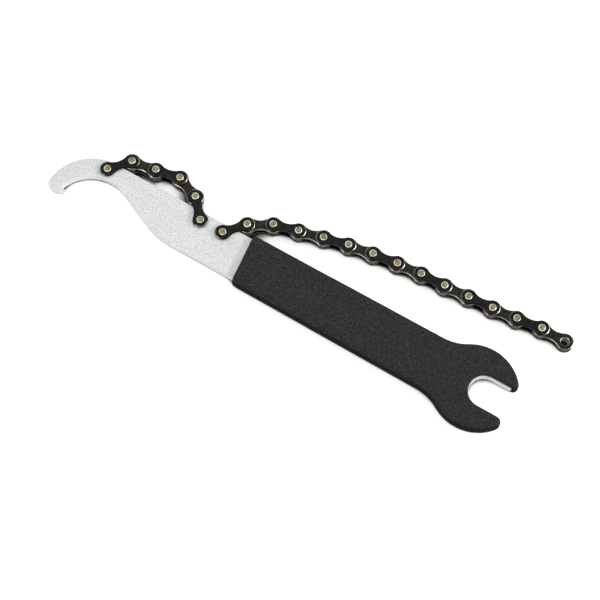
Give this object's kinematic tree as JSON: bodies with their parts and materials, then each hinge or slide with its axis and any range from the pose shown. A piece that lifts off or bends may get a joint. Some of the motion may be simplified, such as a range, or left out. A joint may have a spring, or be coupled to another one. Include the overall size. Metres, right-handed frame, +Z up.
{
  "type": "bicycle chain whip",
  "caption": "Flat steel lever with a lockring hook, a short riveted chain loop, a long loose chain with an open end, a dipped grip and an open-ended wrench.",
  "frame": {"origin": "on the underside of the dipped grip, on the lever centre line, halfway along the straight part of the grip", "axes": "+X along the lever from the hook to the wrench, +Y to the side where the chains lie, +Z up out of the flat tool"},
  "size_m": [0.2623, 0.067, 0.0076],
  "materials": {
    "lever_steel": "blasted, matte, finely mottled",
    "grip_coat": "dipped soft plastic, matte, finely stippled",
    "outer_link_steel": "black oxide, oiled",
    "inner_link_steel": "dark brown-black oxide, oiled, bright on worn edges",
    "pin_steel": "bright, riveted ends",
    "roller_steel": "bright where rubbed, oily dark elsewhere"
  },
  "bodies": {
    "lever": {"lever_plate": "lever_steel", "dipped_grip": "grip_coat"},
    "short_link_1": {"short_link_1_plates": "outer_link_steel", "short_link_1_pins": "pin_steel"},
    "short_link_2": {"short_link_2_top_plate": "inner_link_steel", "short_link_2_bottom_plate": "inner_link_steel"},
    "short_link_3": {"short_link_3_plates": "outer_link_steel", "short_link_3_pins": "pin_steel"},
    "short_link_4": {"short_link_4_top_plate": "inner_link_steel", "short_link_4_bottom_plate": "inner_link_steel"},
    "short_link_5": {"short_link_5_plates": "outer_link_steel", "short_link_5_pins": "pin_steel"},
    "long_link_01": {"long_link_01_plates": "outer_link_steel", "long_link_01_pins": "pin_steel"},
    "long_link_02": {"long_link_02_top_plate": "inner_link_steel", "long_link_02_bottom_plate": "inner_link_steel"},
    "long_link_03": {"long_link_03_plates": "outer_link_steel", "long_link_03_pins": "pin_steel"},
    "long_link_04": {"long_link_04_top_plate": "inner_link_steel", "long_link_04_bottom_plate": "inner_link_steel"},
    "long_link_05": {"long_link_05_plates": "outer_link_steel", "long_link_05_pins": "pin_steel"},
    "long_link_06": {"long_link_06_top_plate": "inner_link_steel", "long_link_06_bottom_plate": "inner_link_steel"},
    "long_link_07": {"long_link_07_plates": "outer_link_steel", "long_link_07_pins": "pin_steel"},
    "long_link_08": {"long_link_08_top_plate": "inner_link_steel", "long_link_08_bottom_plate": "inner_link_steel"},
    "long_link_09": {"long_link_09_plates": "outer_link_steel", "long_link_09_pins": "pin_steel"},
    "long_link_10": {"long_link_10_top_plate": "inner_link_steel", "long_link_10_bottom_plate": "inner_link_steel"},
    "long_link_11": {"long_link_11_plates": "outer_link_steel", "long_link_11_pins": "pin_steel"},
    "long_link_12": {"long_link_12_top_plate": "inner_link_steel", "long_link_12_bottom_plate": "inner_link_steel"},
    "long_link_13": {"long_link_13_plates": "outer_link_steel", "long_link_13_pins": "pin_steel"},
    "long_link_14": {"long_link_14_top_plate": "inner_link_steel", "long_link_14_bottom_plate": "inner_link_steel"},
    "short_roller_2": {"short_roller_2": "roller_steel"},
    "short_roller_3": {"short_roller_3": "roller_steel"},
    "short_roller_4": {"short_roller_4": "roller_steel"},
    "short_roller_5": {"short_roller_5": "roller_steel"},
    "long_roller_02": {"long_roller_02": "roller_steel"},
    "long_roller_03": {"long_roller_03": "roller_steel"},
    "long_roller_04": {"long_roller_04": "roller_steel"},
    "long_roller_05": {"long_roller_05": "roller_steel"},
    "long_roller_06": {"long_roller_06": "roller_steel"},
    "long_roller_07": {"long_roller_07": "roller_steel"},
    "long_roller_08": {"long_roller_08": "roller_steel"},
    "long_roller_09": {"long_roller_09": "roller_steel"},
    "long_roller_10": {"long_roller_10": "roller_steel"},
    "long_roller_11": {"long_roller_11": "roller_steel"},
    "long_roller_12": {"long_roller_12": "roller_steel"},
    "long_roller_13": {"long_roller_13": "roller_steel"},
    "long_roller_14": {"long_roller_14": "roller_steel"},
    "long_roller_15": {"long_roller_15": "roller_steel"}
  },
  "joints": [
    {"name": "short_hinge_1", "type": "hinge", "parent": "lever", "child": "short_link_1", "pos_m": [-0.1341, 0.0066, 0.0038], "axis": [0, 0, 1], "range_deg": [-5, 5]},
    {"name": "short_hinge_2", "type": "hinge", "parent": "short_link_1", "child": "short_link_2", "pos_m": [-0.12594, 0.01633, 0.0038], "axis": [0, 0, 1], "range_deg": [-5.7, 5.7]},
    {"name": "short_hinge_3", "type": "hinge", "parent": "short_link_2", "child": "short_link_3", "pos_m": [-0.11339, 0.01832, 0.0038], "axis": [0, 0, 1], "range_deg": [-15, 15]},
    {"name": "short_hinge_6", "type": "hinge", "parent": "lever", "child": "short_link_5", "pos_m": [-0.0806, 0.0066, 0.0038], "axis": [0, 0, 1], "range_deg": [-4.5, 4.5]},
    {"name": "short_hinge_5", "type": "hinge", "parent": "short_link_5", "child": "short_link_4", "pos_m": [-0.08915, 0.01599, 0.0038], "axis": [0, 0, 1], "range_deg": [-2.5, 2.5]},
    {"name": "long_hinge_01", "type": "hinge", "parent": "lever", "child": "long_link_01", "pos_m": [-0.0679, 0.0066, 0.0038], "axis": [0, 0, 1], "range_deg": [-3, 45]},
    {"name": "long_hinge_02", "type": "hinge", "parent": "long_link_01", "child": "long_link_02", "pos_m": [-0.05965, 0.01626, 0.0038], "axis": [0, 0, -1], "range_deg": [-45, 4]},
    {"name": "long_hinge_03", "type": "hinge", "parent": "long_link_02", "child": "long_link_03", "pos_m": [-0.04871, 0.0227, 0.0038], "axis": [0, 0, 1], "range_deg": [-5, 45]},
    {"name": "long_hinge_04", "type": "hinge", "parent": "long_link_03", "child": "long_link_04", "pos_m": [-0.03647, 0.0261, 0.0038], "axis": [0, 0, -1], "range_deg": [-45, 5]},
    {"name": "long_hinge_05", "type": "hinge", "parent": "long_link_04", "child": "long_link_05", "pos_m": [-0.02415, 0.02917, 0.0038], "axis": [0, 0, 1], "range_deg": [-6, 45]},
    {"name": "long_hinge_06", "type": "hinge", "parent": "long_link_05", "child": "long_link_06", "pos_m": [-0.01177, 0.03203, 0.0038], "axis": [0, 0, -1], "range_deg": [-45, 6]},
    {"name": "long_hinge_07", "type": "hinge", "parent": "long_link_06", "child": "long_link_07", "pos_m": [0.00077, 0.03401, 0.0038], "axis": [0, 0, 1], "range_deg": [-8, 45]},
    {"name": "long_hinge_08", "type": "hinge", "parent": "long_link_07", "child": "long_link_08", "pos_m": [0.01336, 0.03567, 0.0038], "axis": [0, 0, -1], "range_deg": [-45, 10]},
    {"name": "long_hinge_09", "type": "hinge", "parent": "long_link_08", "child": "long_link_09", "pos_m": [0.02601, 0.03678, 0.0038], "axis": [0, 0, 1], "range_deg": [-12, 45]},
    {"name": "long_hinge_10", "type": "hinge", "parent": "long_link_09", "child": "long_link_10", "pos_m": [0.0387, 0.03722, 0.0038], "axis": [0, 0, -1], "range_deg": [-45, 16]},
    {"name": "long_hinge_11", "type": "hinge", "parent": "long_link_10", "child": "long_link_11", "pos_m": [0.05137, 0.03811, 0.0038], "axis": [0, 0, 1], "range_deg": [-22, 45]},
    {"name": "long_hinge_12", "type": "hinge", "parent": "long_link_11", "child": "long_link_12", "pos_m": [0.06405, 0.03888, 0.0038], "axis": [0, 0, -1], "range_deg": [-45, 30]},
    {"name": "long_hinge_13", "type": "hinge", "parent": "long_link_12", "child": "long_link_13", "pos_m": [0.07669, 0.0401, 0.0038], "axis": [0, 0, 1], "range_deg": [-45, 45]},
    {"name": "long_hinge_14", "type": "hinge", "parent": "long_link_13", "child": "long_link_14", "pos_m": [0.08928, 0.04176, 0.0038], "axis": [0, 0, -1], "range_deg": [-45, 90]},
    {"name": "short_roller_2_spin", "type": "hinge", "parent": "short_link_2", "child": "short_roller_2", "pos_m": [-0.12594, 0.01633, 0.0038], "axis": [0, 0, 1], "continuous": true},
    {"name": "short_roller_3_spin", "type": "hinge", "parent": "short_link_2", "child": "short_roller_3", "pos_m": [-0.11339, 0.01832, 0.0038], "axis": [0, 0, 1], "continuous": true},
    {"name": "short_roller_4_spin", "type": "hinge", "parent": "short_link_4", "child": "short_roller_4", "pos_m": [-0.10093, 0.02074, 0.0038], "axis": [0, 0, 1], "continuous": true},
    {"name": "short_roller_5_spin", "type": "hinge", "parent": "short_link_4", "child": "short_roller_5", "pos_m": [-0.08915, 0.01599, 0.0038], "axis": [0, 0, 1], "continuous": true},
    {"name": "long_roller_02_spin", "type": "hinge", "parent": "long_link_02", "child": "long_roller_02", "pos_m": [-0.05965, 0.01626, 0.0038], "axis": [0, 0, 1], "continuous": true},
    {"name": "long_roller_03_spin", "type": "hinge", "parent": "long_link_02", "child": "long_roller_03", "pos_m": [-0.04871, 0.0227, 0.0038], "axis": [0, 0, 1], "continuous": true},
    {"name": "long_roller_04_spin", "type": "hinge", "parent": "long_link_04", "child": "long_roller_04", "pos_m": [-0.03647, 0.0261, 0.0038], "axis": [0, 0, 1], "continuous": true},
    {"name": "long_roller_05_spin", "type": "hinge", "parent": "long_link_04", "child": "long_roller_05", "pos_m": [-0.02415, 0.02917, 0.0038], "axis": [0, 0, 1], "continuous": true},
    {"name": "long_roller_06_spin", "type": "hinge", "parent": "long_link_06", "child": "long_roller_06", "pos_m": [-0.01177, 0.03203, 0.0038], "axis": [0, 0, 1], "continuous": true},
    {"name": "long_roller_07_spin", "type": "hinge", "parent": "long_link_06", "child": "long_roller_07", "pos_m": [0.00077, 0.03401, 0.0038], "axis": [0, 0, 1], "continuous": true},
    {"name": "long_roller_08_spin", "type": "hinge", "parent": "long_link_08", "child": "long_roller_08", "pos_m": [0.01336, 0.03567, 0.0038], "axis": [0, 0, 1], "continuous": true},
    {"name": "long_roller_09_spin", "type": "hinge", "parent": "long_link_08", "child": "long_roller_09", "pos_m": [0.02601, 0.03678, 0.0038], "axis": [0, 0, 1], "continuous": true},
    {"name": "long_roller_10_spin", "type": "hinge", "parent": "long_link_10", "child": "long_roller_10", "pos_m": [0.0387, 0.03722, 0.0038], "axis": [0, 0, 1], "continuous": true},
    {"name": "long_roller_11_spin", "type": "hinge", "parent": "long_link_10", "child": "long_roller_11", "pos_m": [0.05137, 0.03811, 0.0038], "axis": [0, 0, 1], "continuous": true},
    {"name": "long_roller_12_spin", "type": "hinge", "parent": "long_link_12", "child": "long_roller_12", "pos_m": [0.06405, 0.03888, 0.0038], "axis": [0, 0, 1], "continuous": true},
    {"name": "long_roller_13_spin", "type": "hinge", "parent": "long_link_12", "child": "long_roller_13", "pos_m": [0.07669, 0.0401, 0.0038], "axis": [0, 0, 1], "continuous": true},
    {"name": "long_roller_14_spin", "type": "hinge", "parent": "long_link_14", "child": "long_roller_14", "pos_m": [0.08928, 0.04176, 0.0038], "axis": [0, 0, 1], "continuous": true},
    {"name": "long_roller_15_spin", "type": "hinge", "parent": "long_link_14", "child": "long_roller_15", "pos_m": [0.10198, 0.04165, 0.0038], "axis": [0, 0, 1], "continuous": true}
  ],
  "couplings": [
    {"joint": "short_hinge_2", "follows": "short_hinge_1", "ratio": -0.711},
    {"joint": "short_hinge_3", "follows": "short_hinge_1", "ratio": -1.866},
    {"joint": "short_hinge_6", "follows": "short_hinge_1", "ratio": 0.562},
    {"joint": "short_hinge_5", "follows": "short_hinge_1", "ratio": -0.302}
  ]
}
